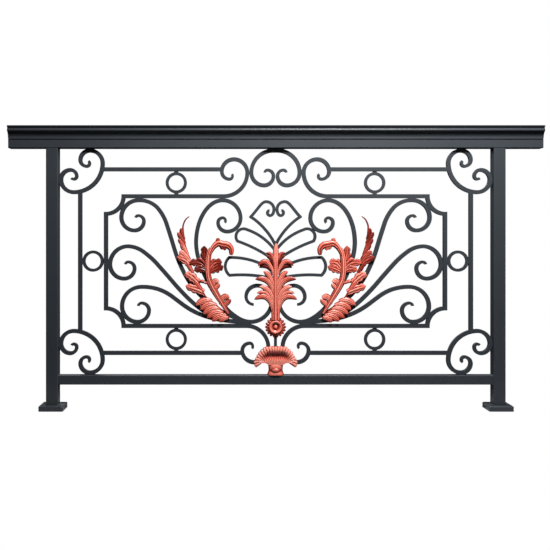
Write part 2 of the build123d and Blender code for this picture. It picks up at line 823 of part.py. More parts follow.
pieces = {
    "left_post": left_post,
    "right_post": right_post,
    "left_base_plate": left_base_plate,
    "right_base_plate": right_base_plate,
    "bottom_rail": bottom_rail,
    "top_rail": top_rail,
    "handrail": handrail,
    "rail_end_plates": rail_end_plates,
    "top_left_corner_scroll": top_left_corner_scroll,
    "top_right_corner_scroll": top_right_corner_scroll,
    "bottom_left_corner_scroll": bottom_left_corner_scroll,
    "bottom_right_corner_scroll": bottom_right_corner_scroll,
    "crown_scroll": crown_scroll,
    "left_frame_top_bar": left_frame_top_bar,
    "right_frame_top_bar": right_frame_top_bar,
    "left_frame_bottom_bar": left_frame_bottom_bar,
    "right_frame_bottom_bar": right_frame_bottom_bar,
    "left_frame_side_bar": left_frame_side_bar,
    "right_frame_side_bar": right_frame_side_bar,
    "outer_side_bars": outer_side_bars,
    "outer_top_bars": outer_top_bars,
    "outer_bottom_bars": outer_bottom_bars,
    "top_rings": top_rings,
    "bottom_rings": bottom_rings,
    "side_rings": side_rings,
    "stem": stem,
    "left_c_scroll": left_c_scroll,
    "right_c_scroll": right_c_scroll,
    "left_lower_scroll": left_lower_scroll,
    "right_lower_scroll": right_lower_scroll,
    "left_middle_scroll": left_middle_scroll,
    "right_middle_scroll": right_middle_scroll,
    "left_upper_scroll": left_upper_scroll,
    "right_upper_scroll": right_upper_scroll,
    "crest_loops": crest_loops,
    "upper_petals": upper_petals,
    "lower_petals": lower_petals,
    "palmette": palmette,
    "rosette": rosette,
    "shell": shell,
    "left_feather_leaf": left_feather_leaf,
    "right_feather_leaf": right_feather_leaf,
    "left_leaf_spray": left_leaf_spray,
    "right_leaf_spray": right_leaf_spray,
}

for name, piece in pieces.items():
    piece.part.label = name
    export_step(piece.part, f"parts/{name}.step")
    print(name, len(piece.part.solids()), round(piece.part.volume / 1000, 1))
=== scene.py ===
import math

import bmesh
import bpy
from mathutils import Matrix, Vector


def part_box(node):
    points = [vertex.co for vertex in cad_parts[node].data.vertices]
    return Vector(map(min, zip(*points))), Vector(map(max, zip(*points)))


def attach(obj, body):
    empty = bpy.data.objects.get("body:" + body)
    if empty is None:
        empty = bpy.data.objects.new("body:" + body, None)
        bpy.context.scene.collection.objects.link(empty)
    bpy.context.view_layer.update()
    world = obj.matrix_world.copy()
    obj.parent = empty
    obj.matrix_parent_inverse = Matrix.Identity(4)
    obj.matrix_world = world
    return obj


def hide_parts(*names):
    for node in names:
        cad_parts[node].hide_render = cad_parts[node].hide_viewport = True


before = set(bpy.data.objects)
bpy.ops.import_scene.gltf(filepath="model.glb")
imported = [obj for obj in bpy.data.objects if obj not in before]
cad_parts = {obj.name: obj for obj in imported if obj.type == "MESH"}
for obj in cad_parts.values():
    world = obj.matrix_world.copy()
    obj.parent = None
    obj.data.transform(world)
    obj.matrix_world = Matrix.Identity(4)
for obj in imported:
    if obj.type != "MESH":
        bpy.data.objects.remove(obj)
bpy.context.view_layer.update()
print("frame loaded,", len(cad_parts), "nodes")

mm = 0.001
midX = (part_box("stem")[0].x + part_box("stem")[1].x) / 2
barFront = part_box("left_c_scroll")[0].y
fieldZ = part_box("left_frame_bottom_bar")[1].z - (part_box("left_c_scroll")[1].y - barFront) / 2


# paint and cast iron
paintLook = {
    "colour": (0.022, 0.026, 0.031),
    # the lighter edge colour is a painted highlight along the edges
    "edgeHighlightColour": (0.050, 0.056, 0.063),
    "roughness": 0.45,
    "roughnessSpread": 0.08,
    "specular": 0.3,
    "grainScale": 900,
    "grainDepth": 0.05,
    # strength and reach of the painted edge highlight
    "edgeHighlight": 0.35,
    "edgeHighlightRadius": 0.0012,
}

redLook = {
    "tones": [  # shade, colour: painted highlight at 0, the paint's own red, then painted shade towards 1
        (0.0, (0.72, 0.260, 0.200)),
        (0.20, (0.56, 0.115, 0.078)),
        (0.50, (0.24, 0.024, 0.014)),
        (1.0, (0.060, 0.004, 0.002)),
    ],
    "roughness": 0.36,
    "specular": 0.3,
    "grainScale": 700,
    "grainDepth": 0.06,
    "open": 0.75,  # openness below which painted shade darkens the red in hollows
    "reach": 0.008,
    "hardness": 1.6,
}


def addNode(tree, kind, place, **values):
    node = tree.nodes.new(kind)
    node.location = place
    for name, value in values.items():
        if hasattr(node, name):
            setattr(node, name, value)
        else:
            node.inputs[name.replace("_", " ")].default_value = value
    return node


def newGroup(name, ins, outs):
    tree = bpy.data.node_groups.new(name, "ShaderNodeTree")
    for label, value in ins:
        socket = tree.interface.new_socket(label, in_out="INPUT", socket_type="NodeSocketFloat")
        socket.default_value = value
    for label, kind in outs:
        tree.interface.new_socket(label, in_out="OUTPUT", socket_type=kind)
    return tree, tree.nodes.new("NodeGroupInput"), tree.nodes.new("NodeGroupOutput")


def useGroup(tree, group, place, **values):
    node = addNode(tree, "ShaderNodeGroup", place)
    node.node_tree = group
    for name, value in values.items():
        node.inputs[name.replace("_", " ")].default_value = value
    return node


def makeGrain():
    tree, goIn, goOut = newGroup(
        "paintGrain",
        [("Scale", 600), ("Depth", 0.05)],
        [("Cloud", "NodeSocketFloat"), ("Normal", "NodeSocketVector")],
    )
    link = tree.links.new
    coord = addNode(tree, "ShaderNodeTexCoord", (-800, 0))
    fine = addNode(tree, "ShaderNodeTexNoise", (-550, 100), Detail=3.0)
    broad = addNode(tree, "ShaderNodeTexNoise", (-550, -200), Scale=7.0, Detail=5.0)
    bump = addNode(tree, "ShaderNodeBump", (-250, 0), Distance=0.0006)
    link(coord.outputs["Object"], fine.inputs["Vector"])
    link(coord.outputs["Object"], broad.inputs["Vector"])
    link(goIn.outputs["Scale"], fine.inputs["Scale"])
    link(goIn.outputs["Depth"], bump.inputs["Strength"])
    link(fine.outputs["Fac"], bump.inputs["Height"])
    link(broad.outputs["Fac"], goOut.inputs["Cloud"])
    link(bump.outputs["Normal"], goOut.inputs["Normal"])
    return tree


# lighter edges: painted highlight where the bevelled normal turns away, broken up by noise
def makeEdgeHighlight():
    tree, goIn, goOut = newGroup(
        "paintedEdgeHighlight", [("Radius", 0.0015), ("Amount", 0.3)], [("Mask", "NodeSocketFloat")]
    )
    link = tree.links.new
    bevel = addNode(tree, "ShaderNodeBevel", (-700, 100), samples=4)
    flat = addNode(tree, "ShaderNodeNewGeometry", (-700, -100))
    match = addNode(tree, "ShaderNodeVectorMath", (-480, 0), operation="DOT_PRODUCT")
    turn = addNode(tree, "ShaderNodeMapRange", (-280, 0))
    turn.inputs["From Min"].default_value = 0.99
    turn.inputs["From Max"].default_value = 0.80
    coord = addNode(tree, "ShaderNodeTexCoord", (-700, -350))
    patch = addNode(tree, "ShaderNodeTexNoise", (-480, -300), Scale=45.0, Detail=6.0)
    broken = addNode(tree, "ShaderNodeMath", (-100, -100), operation="MULTIPLY")
    amount = addNode(tree, "ShaderNodeMath", (80, -100), operation="MULTIPLY")
    link(goIn.outputs["Radius"], bevel.inputs["Radius"])
    link(bevel.outputs["Normal"], match.inputs[0])
    link(flat.outputs["Normal"], match.inputs[1])
    link(match.outputs["Value"], turn.inputs["Value"])
    link(coord.outputs["Object"], patch.inputs["Vector"])
    link(turn.outputs["Result"], broken.inputs[0])
    link(patch.outputs["Fac"], broken.inputs[1])
    link(broken.outputs["Value"], amount.inputs[0])
    link(goIn.outputs["Amount"], amount.inputs[1])
    link(amount.outputs["Value"], goOut.inputs["Mask"])
    return tree


# painted shade in hollows and between blades from ambient occlusion, added to the painted shade the
# mesh carries
def makeRecessShade():
    tree, goIn, goOut = newGroup(
        "castRecessShade",
        [("Shade", 0.0), ("Open", 0.75), ("Reach", 0.010), ("Hardness", 1.6)],
        [("Deep", "NodeSocketFloat")],
    )
    link = tree.links.new
    hollow = addNode(tree, "ShaderNodeAmbientOcclusion", (-600, 100), samples=8)
    swap = addNode(tree, "ShaderNodeMath", (-400, 100), operation="SUBTRACT", use_clamp=True)
    push = addNode(tree, "ShaderNodeMath", (-200, 100), operation="MULTIPLY_ADD", use_clamp=True)
    link(goIn.outputs["Reach"], hollow.inputs["Distance"])
    link(goIn.outputs["Open"], swap.inputs[0])
    link(hollow.outputs["AO"], swap.inputs[1])
    link(swap.outputs["Value"], push.inputs[0])
    link(goIn.outputs["Hardness"], push.inputs[1])
    link(goIn.outputs["Shade"], push.inputs[2])
    link(push.outputs["Value"], goOut.inputs["Deep"])
    return tree


def newMaterial(name):
    material = bpy.data.materials.new(name)
    material.use_nodes = True
    tree = material.node_tree
    return material, tree, tree.nodes["Principled BSDF"]


def mixColour(tree, place, low, high):
    node = addNode(tree, "ShaderNodeMix", place, data_type="RGBA")
    node.inputs["A"].default_value = (*low, 1)
    node.inputs["B"].default_value = (*high, 1)
    return node


grain = makeGrain()
edgeHighlight = makeEdgeHighlight()
recessShade = makeRecessShade()


def useGrain(tree, look, place):
    return useGroup(tree, grain, place, Scale=look["grainScale"], Depth=look["grainDepth"])


def makePaint(look):
    material, tree, shader = newMaterial("blackSteel")
    link = tree.links.new
    shader.inputs["Specular IOR Level"].default_value = look["specular"]
    grainUse = useGrain(tree, look, (-700, -200))
    edgeHighlightUse = useGroup(tree, edgeHighlight, (-700, 100), Radius=look["edgeHighlightRadius"], Amount=look["edgeHighlight"])
    # painted highlight: the lighter colour mixed in along the edges
    colour = mixColour(tree, (-400, 200), look["colour"], look["edgeHighlightColour"])
    rough = addNode(tree, "ShaderNodeMapRange", (-400, -100))
    rough.inputs["To Min"].default_value = look["roughness"] - look["roughnessSpread"]
    rough.inputs["To Max"].default_value = look["roughness"] + look["roughnessSpread"]
    link(edgeHighlightUse.outputs["Mask"], colour.inputs["Factor"])
    link(colour.outputs["Result"], shader.inputs["Base Color"])
    link(grainUse.outputs["Cloud"], rough.inputs["Value"])
    link(rough.outputs["Result"], shader.inputs["Roughness"])
    link(grainUse.outputs["Normal"], shader.inputs["Normal"])
    return material


def makeRed(look):
    material, tree, shader = newMaterial("redCasting")
    link = tree.links.new
    shader.inputs["Roughness"].default_value = look["roughness"]
    shader.inputs["Specular IOR Level"].default_value = look["specular"]
    grainUse = useGrain(tree, look, (-900, -200))
    recessUse = useGroup(
        tree, recessShade, (-650, 150), Open=look["open"], Reach=look["reach"], Hardness=look["hardness"]
    )
    # the shade attribute is painted shade; the ramp turns it into painted highlight, red and painted
    # shade
    shade = addNode(tree, "ShaderNodeAttribute", (-900, 150), attribute_name="shade")
    tones = addNode(tree, "ShaderNodeValToRGB", (-400, 150))
    tones.color_ramp.elements.remove(tones.color_ramp.elements[1])
    for n, (place, colour) in enumerate(look["tones"]):
        stop = tones.color_ramp.elements.new(place) if n else tones.color_ramp.elements[0]
        stop.position, stop.color = place, (*colour, 1)
    link(shade.outputs["Fac"], recessUse.inputs["Shade"])
    link(recessUse.outputs["Deep"], tones.inputs["Fac"])
    link(tones.outputs["Color"], shader.inputs["Base Color"])
    link(grainUse.outputs["Normal"], shader.inputs["Normal"])
    return material


blackSteel = makePaint(paintLook)
redCasting = makeRed(redLook)

redNodes = ["palmette", "rosette", "shell"]
redNodes += [side + name for side in ("left", "right") for name in ("_feather_leaf", "_leaf_spray")]
for name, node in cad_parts.items():
    node.data.materials.clear()
    node.data.materials.append(redCasting if name in redNodes else blackSteel)
print("paint ready")


# castings, each a set of blades and stems skinned ring by ring, in millimetres
backShade = 0.6
backGap = 0.2  # how far a back stands off the bars
wavePoints = 8  # points across one petal or flute

bladeDefaults = {
    "width": 22,
    "foot": 0.40,  # share of the width at the base
    "peak": 0.55,  # where along its length it is widest
    "thick": 3.0,
    "rise": 6.0,
    "swell": 0.45,  # share of the rise that comes and goes along the blade
    "cup": 0.0,
    "veins": 2,
    "veinDepth": 0.8,
    "lobes": 0,
    "cut": 0.0,
    "tipCurve": (2.4, 0.65),  # powers that round the tip
    "tipWidth": 0.04,  # share of the width left at the tip
    "lift": 2.0,
    "backLift": 0.9,  # share of the lift that the back follows
    "backWidth": 0.98,
    # shade values are painted shade: darker edges, veins and tips
    "shade": 0.0,
    "tipShade": 0.0,
    "edgeShade": 0.85,
    "veinShade": 0.7,
}


def blade(base, knee, tip, **changes):
    return {**bladeDefaults, "base": base, "knee": knee, "tip": tip, **changes}


def bladeSwell(shape, u):
    if u < shape["peak"]:
        share = shape["foot"] + (1 - shape["foot"]) * math.sin(math.pi / 2 * u / shape["peak"])
    else:
        t = (u - shape["peak"]) / (1 - shape["peak"])
        fall, close = shape["tipCurve"]
        share = max(1 - t**fall, 0.0) ** close
    notch = abs(math.cos(math.pi * shape["lobes"] * u)) ** 3 if shape["lobes"] else 0
    return max(share * (1 - shape["cut"] * notch * min(1, 4 * u)), shape["tipWidth"])


def veinWave(shape, v):
    return 0.5 - 0.5 * math.cos(2 * math.pi * shape["veins"] * v)


def bladeHeight(shape, u, v):
    dome = max(1 - v * v, 0) ** 0.6
    along = 1 - shape["swell"] + shape["swell"] * math.sin(math.pi * u**0.8)
    vein = veinWave(shape, v) * (1 - v**4) * math.sin(math.pi * min(1, 0.15 + u))
    height = shape["thick"] + shape["rise"] * dome * along - shape["veinDepth"] * vein
    height -= shape["cup"] * (1 - v * v) * math.sin(math.pi * u)
    return height + shape["lift"] * u * u


# painted shade on a blade: darker towards the tip, along the edges and in the veins
def bladeShade(shape, u, v):
    shade = shape["shade"] + max(shape["tipShade"] - shape["shade"], 0) * u**3
    vein = veinWave(shape, v) ** 4 * (1 - v**4) * min(1, 3 * (1 - u))
    return min(shade + shape["edgeShade"] * v**6 + shape["veinShade"] * vein, 1)


def bladeRings(shape, steps=26, across=18):
    base, knee, tip = Vector(shape["base"]), Vector(shape["knee"]), Vector(shape["tip"])
    rings = []
    for i in range(steps + 1):
        u = i / steps
        point = base * (1 - u) ** 2 + knee * (2 * u * (1 - u)) + tip * u * u
        way = ((knee - base) * (1 - u) + (tip - knee) * u).normalized()
        side = Vector((-way.y, way.x)) * shape["width"] / 2 * bladeSwell(shape, u)
        ring = []
        for j in range(across + 1):
            v = 2 * j / across - 1
            ring.append((*(point + side * v), bladeHeight(shape, u, v), bladeShade(shape, u, v)))
        back = shape["lift"] * u * u * shape["backLift"]
        ring.append((*(point + side * shape["backWidth"]), back, backShade))
        ring.append((*(point - side * shape["backWidth"]), back, backShade))
        rings.append(ring)
    return rings


def curvePoint(points, t):  # smooth curve through the points
    last = len(points) - 1
    place = min(max(t, 0), 0.99999) * last
    n = int(place)
    f = place - n
    a, b = points[max(n - 1, 0)], points[n]
    c, d = points[n + 1], points[min(n + 2, last)]
    mixed = []
    for p, q, r, s in zip(a, b, c, d):
        bend = 2 * p - 5 * q + 4 * r - s + f * (3 * (q - r) + s - p)
        mixed.append(q + 0.5 * f * (r - p + f * bend))
    return mixed


stemDefaults = {
    "base": 1.5,
    "fullHalf": 4,  # half width from which a stem has its whole depth
    # ridge deepens the grooves and puts painted shade in them
    "ridge": 0.0,
    "grooves": 2,
    "shade": 0.0,
    "tipShade": 0.0,
    "edgeShade": 0.8,
    "inner": 0.0,  # more painted shade on the inner side
}


def stemRings(points, depth, steps=60, around=24, **changes):
    shape = {**stemDefaults, **changes}
    rings = []
    for i in range(steps + 1):
        t = i / steps
        x, z, half = curvePoint(points, t)
        before, after = curvePoint(points, t - 0.01), curvePoint(points, t + 0.01)
        way = Vector((after[0] - before[0], after[1] - before[1])).normalized()
        side = Vector((-way.y, way.x))
        full = depth * min(1, half / shape["fullHalf"])
        flat = shape["shade"] + (shape["tipShade"] - shape["shade"]) * t**3
        ring = []
        for j in range(around + 1):
            angle = math.pi * j / around
            wave = (1 - math.cos(2 * shape["grooves"] * angle)) / 2 * math.sin(angle)
            p = Vector((x, z)) - side * half * math.cos(angle)
            height = shape["base"] + full * math.sin(angle) ** 0.7 - shape["ridge"] * wave
            # painted shade along the edges, in the grooves and on the inner side
            tone = flat + shape["edgeShade"] * math.cos(angle) ** 6 + shape["ridge"] * wave**4
            tone += shape["inner"] * max(0, math.cos(angle)) ** 2
            ring.append((p.x, p.y, height, min(tone, 1)))
        ring.append((x + side.x * half, z + side.y * half, 0, backShade))
        ring.append((x - side.x * half, z - side.y * half, 0, backShade))
        rings.append(ring)
    return rings


def addRings(mesh, rings, origin, flip):
    rows = []
    for ring in rings:
        row = []
        for x, z, height, shade in ring:
            place = (origin[0] + flip * x * mm, barFront - height * mm, origin[1] + z * mm)
            vert = mesh.verts.new(place)
            vert[mesh.verts.layers.float["shade"]] = shade
            row.append(vert)
        rows.append(row)
    for one, two in zip(rows, rows[1:]):
        for n in range(len(one)):
            m = (n + 1) % len(one)
            mesh.faces.new((one[n], one[m], two[m], two[n]))
    mesh.faces.new(rows[0])
    mesh.faces.new(reversed(rows[-1]))


def castPiece(name, parts, origin, node, flip=1, sharp=50):
    mesh = bmesh.new()
    # every point carries a shade value: painted shade, read by the red material
    mesh.verts.layers.float.new("shade")
    for rings in parts:
        addRings(mesh, rings, origin, flip)
    bmesh.ops.recalc_face_normals(mesh, faces=mesh.faces)
    data = bpy.data.meshes.new(name)
    mesh.to_mesh(data)
    mesh.free()
    data.shade_smooth()
    data.set_sharp_from_angle(angle=math.radians(sharp))
    data.materials.append(redCasting)
    piece = bpy.data.objects.new(name, data)
    bpy.context.collection.objects.link(piece)
    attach(piece, "root")
    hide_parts(node)


palmetteShape = {
    "trunk": [  # x, height, half width
        (0, 0, 15), (0, 20, 15), (0, 25, 16), (0, 30, 14.5), (0, 50, 13), (0, 80, 11),
        (0, 120, 9.5), (0, 180, 8.5), (0, 220, 7), (0, 250, 5), (0, 262, 3),
    ],
    "trunkDepth": 9,
    "lobes": [
        blade((10, 34), (22, 106), (75, 72), width=22, foot=0.6, lift=8, tipShade=0.5),
        blade((9, 40), (22, 112), (66, 94), width=17, foot=0.6, lift=6, tipShade=0.3),
        blade((8, 48), (14, 116), (57, 117), width=22, foot=0.6, lift=4),
        blade((8, 92), (18, 156), (72, 143), width=22, foot=0.6, lift=8, tipShade=0.7),
        blade((7, 100), (12, 158), (43, 171), width=21, foot=0.6, lift=4, tipShade=0.2),
        # a low, dark blade: painted shade under the third tier's curl
        blade((8, 160), (26, 204), (58, 184), width=18, foot=0.6, lift=1, shade=0.85),
        blade((7, 158), (28, 232), (62, 190), width=20, foot=0.6, lift=9, rise=7, tipShade=0.8),
        blade((7, 190), (12, 222), (35, 228), width=16, foot=0.6, lift=2, shade=0.7),
        blade((6, 198), (9, 238), (34, 236), width=13, foot=0.6, lift=6, shade=0.1, tipShade=0.6),
    ],
    "top": blade((0, 150), (0, 220), (1, 271), width=22, lift=6, veinShade=0.4),
}


def makePalmette(shape):
    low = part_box("palmette")[0]
    parts = [stemRings(shape["trunk"], shape["trunkDepth"], ridge=1.0, grooves=4, shade=0.08)]
    for lobe in shape["lobes"]:
        parts.append(bladeRings(lobe))
        other = dict(lobe)
        for end in ("base", "knee", "tip"):
            other[end] = (-lobe[end][0], lobe[end][1])
        parts.append(bladeRings(other))
    parts.append(bladeRings(shape["top"]))
    castPiece("palmetteCast", parts, (midX, low.z), "palmette")


# the shade and tipShade given to each blade below are painted shade, lobe by lobe
broadLeaf = {"lobes": 3, "veins": 1.5, "veinDepth": 1.8, "veinShade": 0.95}
plume = {**broadLeaf, "foot": 0.7, "cut": 0.25}  # broad blades of the feather
frond = {**broadLeaf, "cut": 0.3}  # broad blades of the spray
finger = {"foot": 0.7, "veinDepth": 1.4}  # the feather's lower fan

featherShape = {
    "rib": [
        (-163, 28, 3), (-179, 42, 2.8), (-194, 58, 2.6), (-210, 75, 2.6), (-227, 89, 2.6),
        (-244, 101, 2.8), (-254, 117, 3.2), (-262, 135, 3.2), (-271, 152, 3.2), (-283, 174, 3.2),
        (-295, 196, 3.2), (-303, 217, 3.2), (-309, 242, 3.2), (-315, 266, 3.2), (-320, 291, 3.2),
        (-324, 321, 3), (-326, 342, 3), (-325, 356, 2.8), (-319, 371, 2.6), (-312, 380, 2.2),
        (-303, 386, 1.5),
    ],
    "ribDepth": 7,
    "upperFrom": 180,  # height where the upper half starts
    "lobes": [
        blade((-226, 85), (-250, 98), (-280, 74), **finger, width=27, lift=4, tipShade=0.3),
        blade((-210, 71), (-238, 84), (-264, 58), **finger, width=27, lift=4, tipShade=0.4),
        blade((-198, 57), (-228, 70), (-254, 42), **finger, width=27, lift=4, tipShade=0.4),
        blade((-186, 45), (-215, 56), (-241, 28), **finger, width=27, lift=4, tipShade=0.5),
        blade((-174, 36), (-201, 43), (-223, 17), **finger, width=26, lift=3, tipShade=0.5),
        blade((-167, 30), (-185, 32), (-198, 14), width=23, foot=0.7, lift=2, tipShade=0.5),
        blade((-252, 118), (-283, 132), (-317, 142), **plume, width=33, lift=4, tipShade=0.2),
        blade((-270, 147), (-292, 174), (-317, 188), **plume, width=37, lift=5),
        blade((-284, 160), (-305, 172), (-322, 180), width=16, lift=2, shade=0.3, tipShade=0.4),
        blade((-258, 124), (-275, 141), (-288, 166), width=20, foot=0.7, lift=1,
              shade=0.15, tipShade=0.4),
        blade((-290, 186), (-304, 206), (-314, 236), width=17, foot=0.7, lift=1,
              shade=0.15, tipShade=0.3),
        blade((-299, 212), (-319, 238), (-347, 243), **plume, width=32, lift=4, tipShade=0.3),
        blade((-304, 230), (-322, 254), (-338, 265), width=27, foot=0.7, lobes=2, cut=0.2, lift=3),
        blade((-309, 250), (-326, 280), (-333, 291), width=19, foot=0.6, lift=2, tipShade=0.3),
        blade((-315, 270), (-332, 295), (-342, 308), width=17, foot=0.6, lift=2,
              shade=0.15, tipShade=0.5),
        blade((-319, 290), (-336, 315), (-344, 331), width=17, foot=0.6, lift=2,
              shade=0.35, tipShade=0.4),
        blade((-321, 305), (-334, 330), (-331, 345), width=15, foot=0.6, lift=1, shade=0.45),
    ],
}

sprayShape = {
    "stem": [
        (-166, 44, 4), (-176, 60, 6.5), (-187, 78, 8.5), (-199, 98, 10), (-213, 122, 11),
        (-227, 148, 11), (-236, 175, 10), (-238, 205, 10.5), (-237, 235, 10), (-233, 258, 9),
        (-226, 274, 8),
    ],
    "stemDepth": 9,
    "curl": [
        (-232, 252, 6.5), (-227, 264, 7.5), (-217, 280, 9.5), (-202, 291, 12), (-185, 288, 12.5),
        (-168, 284, 12.5), (-157, 272, 10), (-156, 258, 8), (-157, 250, 5),
    ],
    "curlDepth": 10,
    "lobes": [
        blade((-241, 222), (-255, 250), (-250, 283), **frond, width=30, cup=3,
              shade=0.65, tipShade=0.9),
        blade((-246, 230), (-257, 243), (-262, 257), width=15, lobes=2, cut=0.2, cup=2, shade=0.85),
        blade((-241, 200), (-268, 235), (-302, 220), **frond, width=34, cup=3, lift=5,
              shade=0.5, tipShade=0.85),
        blade((-242, 192), (-262, 208), (-287, 195), **frond, width=31, cup=2, shade=0.8, lift=3),
        blade((-242, 208), (-256, 236), (-275, 238), width=16, lobes=2, cut=0.2, shade=0.5),
        blade((-232, 198), (-218, 232), (-188, 223), **frond, width=35, cup=3, lift=5,
              shade=0.2, tipShade=0.8),
        blade((-231, 190), (-209, 203), (-183, 211), **frond, width=32, cup=2, lift=4,
              shade=0.4, tipShade=0.9),
        blade((-222, 132), (-223, 166), (-198, 156), width=24, lobes=2, cut=0.15, cup=2, lift=4),
        blade((-218, 124), (-208, 140), (-196, 149), width=18, lift=2, tipShade=0.3),
        blade((-194, 76), (-190, 113), (-162, 100), width=26, lobes=2, cut=0.15, cup=2, lift=4,
              tipShade=0.3),
        blade((-186, 64), (-172, 84), (-157, 94), width=20, lift=2, shade=0.1, tipShade=0.6),
        blade((-236, 150), (-252, 156), (-268, 161), width=14, lobes=2, cut=0.2, lift=3,
              shade=0.35),
        blade((-197, 288), (-190, 280), (-186, 269), width=14, shade=0.55),
        blade((-182, 288), (-180, 278), (-178, 266), width=13, shade=0.55),
        blade((-208, 290), (-204, 302), (-199, 310), width=15, lift=4, shade=0.3, tipShade=0.4),
    ],
}

sideShade = {  # painted shade: how much each side's spray keeps, and how much the feather's upper half adds, since light falls differently on each side
    "left": {"spray": 1.0, "feather": 0.0},
    "right": {"spray": 0.35, "feather": 0.35},
}


def toned(lobe, keep=1.0, add=0.0):
    return {**lobe, "shade": lobe["shade"] * keep + add, "tipShade": lobe["tipShade"] * keep + add}


def makeSideLeaves(side, flip):
    origin = (midX, fieldZ)
    # painted shade differs by side, for how the light falls on each
    tone = sideShade[side]
    parts = []
    for lobe in featherShape["lobes"]:
        upper = lobe["base"][1] > featherShape["upperFrom"]
        parts.append(bladeRings(toned(lobe, add=tone["feather"] if upper else 0)))
    # the rib is darkened by painted shade, more towards its tip
    parts.append(stemRings(featherShape["rib"], featherShape["ribDepth"], shade=0.5, tipShade=0.7))
    castPiece(side + "FeatherCast", parts, origin, side + "_feather_leaf", flip)
    parts = [bladeRings(toned(lobe, keep=tone["spray"])) for lobe in sprayShape["lobes"]]
    grooved = {"ridge": 1.1, "inner": 0.6}
    stem, curl = sprayShape["stem"], sprayShape["curl"]
    parts.append(stemRings(stem, sprayShape["stemDepth"], grooves=4, shade=0.05, **grooved))
    parts.append(
        stemRings(curl, sprayShape["curlDepth"], grooves=3, shade=0.1, tipShade=0.4, **grooved)
    )
    castPiece(side + "SprayCast", parts, origin, side + "_leaf_spray", flip)


rosetteShape = {
    "petals": 18,
    "profile": [  # share of the radius, height, painted shade
        (0, 9, 0.1), (0.10, 8.6, 0.15), (0.18, 6.0, 0.5), (0.24, 4.5, 0.7), (0.34, 5.4, 0.4),
        (0.42, 9.5, 0.15), (0.52, 11.0, 0.1), (0.60, 10.0, 0.3), (0.66, 6.0, 0.6), (0.74, 5.6, 0.4),
        (0.86, 5.2, 0.55), (1.0, 3.2, 0.9),
    ],
    "backShade": 0.9,
    "toothFrom": 0.62,  # share of the radius where the teeth start
    "notch": 0.16,
    "fold": 2.2,
}


def makeRosette(shape):
    low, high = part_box("rosette")
    radius = (high.z - low.z) / 2 / mm
    around = shape["petals"] * wavePoints
    rings = []
    for share, height, shade in shape["profile"]:
        ring = []
        for n in range(around):
            angle = 2 * math.pi * n / around
            tooth = abs(math.sin(shape["petals"] * angle / 2))
            outer = max(0, (share - shape["toothFrom"]) / (1 - shape["toothFrom"]))
            reach = radius * max(share, 0.01) * (1 - shape["notch"] * (1 - tooth) * outer)
            fold = shape["fold"] * (1 - tooth) * outer**0.5
            ring.append((reach * math.sin(angle), reach * math.cos(angle), height - fold, shade))
        rings.append(ring)
    rings.append([(x, z, backGap, shape["backShade"]) for x, z, height, shade in rings[-1]])
    castPiece("rosetteCast", [rings], (midX, (low.z + high.z) / 2), "rosette")


shellShape = {
    "hub": 46,
    "rim": [  # degrees, reach
        (-15.5, 72), (-8, 77), (-3, 78), (5, 75), (20, 70),
        (30, 69), (42, 67), (58, 65), (75, 58), (90, 56),
    ],
    "rimDrop": 0.3,
    "rimShade": 0.4,
    "scallop": 0.035,
    "neck": (25, 37),  # half width and height where the flutes start
    "arch": 12,
    "archSpan": 40,  # degrees from each wing tip
    "flutes": 21,
    "fluteDepth": 1.8,
    "fluteShade": 0.4,
    "depth": 22,
    "wingDepth": 0.6,  # share of the depth at the wings
    "hollow": (0.52, 0.15, 9),  # share of the reach, width in shares, depth
    "hollowSpread": 62,  # degrees either side of the middle
    "hollowShade": 0.65,
    "foot": [  # height, half width, depth
        (0, 29, 14), (5, 29, 15), (10, 27, 14), (18, 25, 14),
        (26, 25, 15), (33, 26, 15), (40, 27, 12), (46, 27, 8),
    ],
    "footShade": (0.15, 0.6, 0.5),  # painted shade on the foot: flat, edge, groove round the boss
    "boss": (19, 15, 6, 5),  # height, half width, half height, swell
    "bossGroove": (1.1, 0.25),  # place and width in shares of the boss
}


def rimReach(shape, degrees):
    angle = degrees if degrees <= 90 else 180 - degrees
    for (a, low), (b, high) in zip(shape["rim"], shape["rim"][1:]):
        if angle <= b:
            return low + (high - low) * (angle - a) / (b - a)
    return shape["rim"][-1][1]


def fluteRings(shape):
    start, end = shape["rim"][0][0], 180 - shape["rim"][0][0]
    around = shape["flutes"] * wavePoints
    neckHalf, neckUp = shape["neck"]
    hollowAt, hollowWide, hollowDeep = shape["hollow"]
    wing = shape["wingDepth"]
    shares = [0.0, 0.1, 0.2, 0.3, 0.4, 0.47, 0.54, 0.6, 0.66, 0.72, 0.78, 0.84, 0.9, 0.95, 0.98, 1.0]
    rings = []
    for n in range(around + 1):
        degrees = start + (end - start) * n / around
        turn = math.radians(degrees)
        wave = abs(math.sin(math.pi * shape["flutes"] * n / around))
        droop = max(0, 1 - (90 - abs(degrees - 90) - start) / shape["archSpan"])
        middle = math.exp(-(((degrees - 90) / shape["hollowSpread"]) ** 4))
        ring = []
        for share in shares:
            reach = rimReach(shape, degrees) * (1 - shape["scallop"] * (1 - wave) * share**4)
            x = math.cos(turn) * (neckHalf * (1 - share) + reach * share)
            z = neckUp * (1 - share) + (shape["hub"] + reach * math.sin(turn)) * share
            z += shape["arch"] * droop * math.sin(math.pi * share)
            hollow = middle * math.exp(-(((share - hollowAt) / hollowWide) ** 2))
            height = shape["depth"] * (wing + (1 - wing) * middle * share)
            height *= 1 - shape["rimDrop"] * share**8
            height -= shape["fluteDepth"] * (1 - wave) * min(1, 0.3 + share) + hollowDeep * hollow
            # painted shade: the shadowed hollow under the rim, the flute grooves and the rim's edge
            shade = shape["hollowShade"] * hollow + shape["fluteShade"] * (1 - wave) ** 2
            shade += shape["rimShade"] if share == 1 else 0
            ring.append((x, z, height, min(shade, 1)))
        back = [(x, z, backGap, backShade) for x, z, height, shade in reversed(ring)]
        rings.append(ring + back)
    return rings


